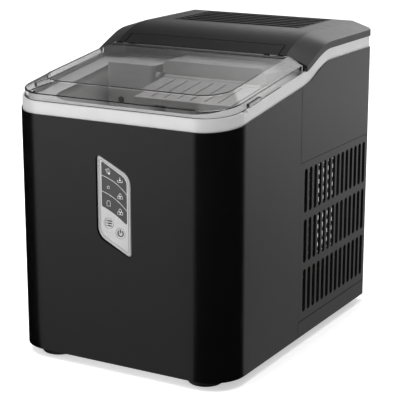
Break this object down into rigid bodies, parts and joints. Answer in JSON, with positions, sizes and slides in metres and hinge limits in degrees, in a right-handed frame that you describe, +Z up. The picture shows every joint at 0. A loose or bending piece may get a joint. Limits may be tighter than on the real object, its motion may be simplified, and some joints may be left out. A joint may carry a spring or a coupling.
{
  "type": "countertop ice maker",
  "caption": "Countertop ice maker with a clear hinged lid, silver trim band, slanted front control panel, slotted side vents, water basin, lift-out basket and cooling machinery.",
  "frame": {"origin": "on the surface it stands on, under the middle of the body", "axes": "+Z up, +Y to the back, +X to the right seen from the front"},
  "size_m": [0.226, 0.301, 0.2904],
  "materials": {
    "black_shell": "fine textured satin",
    "cover_black": "satin",
    "silver_trim": "satin silver paint",
    "smoke_clear": "clear smoke-grey, polished",
    "dark_window": "gloss black",
    "light_grey": "satin moulded",
    "mid_grey": "satin moulded",
    "foam": "foam",
    "foot_rubber": "matt",
    "steel": "zinc plated",
    "galvanised": "galvanised sheet",
    "copper": "drawn copper tube",
    "nickel": "nickel plated",
    "fin_aluminium": "rolled",
    "compressor_black": "black enamel",
    "circuit_green": "solder mask",
    "hose_clear": "silicone"
  },
  "bodies": {
    "machine": {"base_pan": "galvanised", "front_housing": "black_shell", "rear_housing": "black_shell", "side_vent_left": "black_shell", "side_vent_right": "black_shell", "trim_band": "silver_trim", "top_cover": "cover_black", "hinge_strip": "cover_black", "top_vent_grille": "cover_black", "housing_screws": "steel", "lid_hinge_pins": "steel", "panel_bezel": "silver_trim", "display_window": "dark_window", "display_board": "circuit_green", "water_basin": "mid_grey", "basin_insulation": "foam", "evaporator_frame": "galvanised", "evaporator_plate": "nickel", "cooling_fingers": "nickel", "evaporator_coil": "nickel", "evaporator_cover": "light_grey", "drive_housing": "mid_grey", "tray_motor": "mid_grey", "ice_full_sensor": "dark_window", "water_level_sensor": "mid_grey", "water_pump": "compressor_black", "pump_hose": "hose_clear", "compressor": "compressor_black", "compressor_grommets": "foot_rubber", "compressor_relay": "compressor_black", "condenser_coil": "copper", "condenser_fins": "fin_aluminium", "fan_shroud": "compressor_black", "fan_motor": "galvanised", "filter_drier": "copper", "hot_gas_valve": "steel", "control_board": "circuit_green", "drain_spout": "mid_grey", "power_inlet": "compressor_black", "discharge_tube": "copper", "liquid_tube": "copper", "capillary_tube": "copper", "suction_tube": "copper", "foot_front_left": "foot_rubber", "foot_front_right": "foot_rubber", "foot_rear_left": "foot_rubber", "foot_rear_right": "foot_rubber"},
    "lid": {"lid": "smoke_clear"},
    "select_button": {"select_button": "silver_trim"},
    "power_button": {"power_button": "silver_trim"},
    "basket": {"ice_basket": "light_grey"},
    "tray": {"water_tray": "light_grey"},
    "shovel": {"ice_shovel": "light_grey"},
    "fan": {"fan_blade": "compressor_black"},
    "drain_plug": {"drain_plug": "foot_rubber"}
  },
  "joints": [
    {"name": "lid_hinge", "type": "hinge", "parent": "machine", "child": "lid", "pos_m": [0, -0.0032, 0.2723], "axis": [-1, 0, 0], "range_deg": [0, 80]},
    {"name": "select_press", "type": "slide", "parent": "machine", "child": "select_button", "axis": [0, 1, 0], "range_m": [0, 0.0007], "stiffness_N_per_m": 1500},
    {"name": "power_press", "type": "slide", "parent": "machine", "child": "power_button", "axis": [0, 1, 0], "range_m": [0, 0.0007], "stiffness_N_per_m": 1500},
    {"name": "basket_lift", "type": "slide", "parent": "machine", "child": "basket", "axis": [0, 0, 1], "range_m": [0, 0.015]},
    {"name": "tray_tilt", "type": "hinge", "parent": "machine", "child": "tray", "pos_m": [0.035, -0.006, 0.238], "axis": [1, 0, 0], "range_deg": [0, 40]},
    {"name": "shovel_sweep", "type": "hinge", "parent": "machine", "child": "shovel", "pos_m": [0.035, -0.036, 0.25], "axis": [1, 0, 0], "range_deg": [0, 30]},
    {"name": "fan_spin", "type": "hinge", "parent": "machine", "child": "fan", "pos_m": [0.072, 0.066, 0.125], "axis": [1, 0, 0], "continuous": true},
    {"name": "drain_plug_pull", "type": "slide", "parent": "machine", "child": "drain_plug", "axis": [0, 1, 0], "range_m": [0, 0.018]}
  ],
  "couplings": [
    {"joint": "shovel_sweep", "follows": "tray_tilt", "ratio": 0.75}
  ]
}
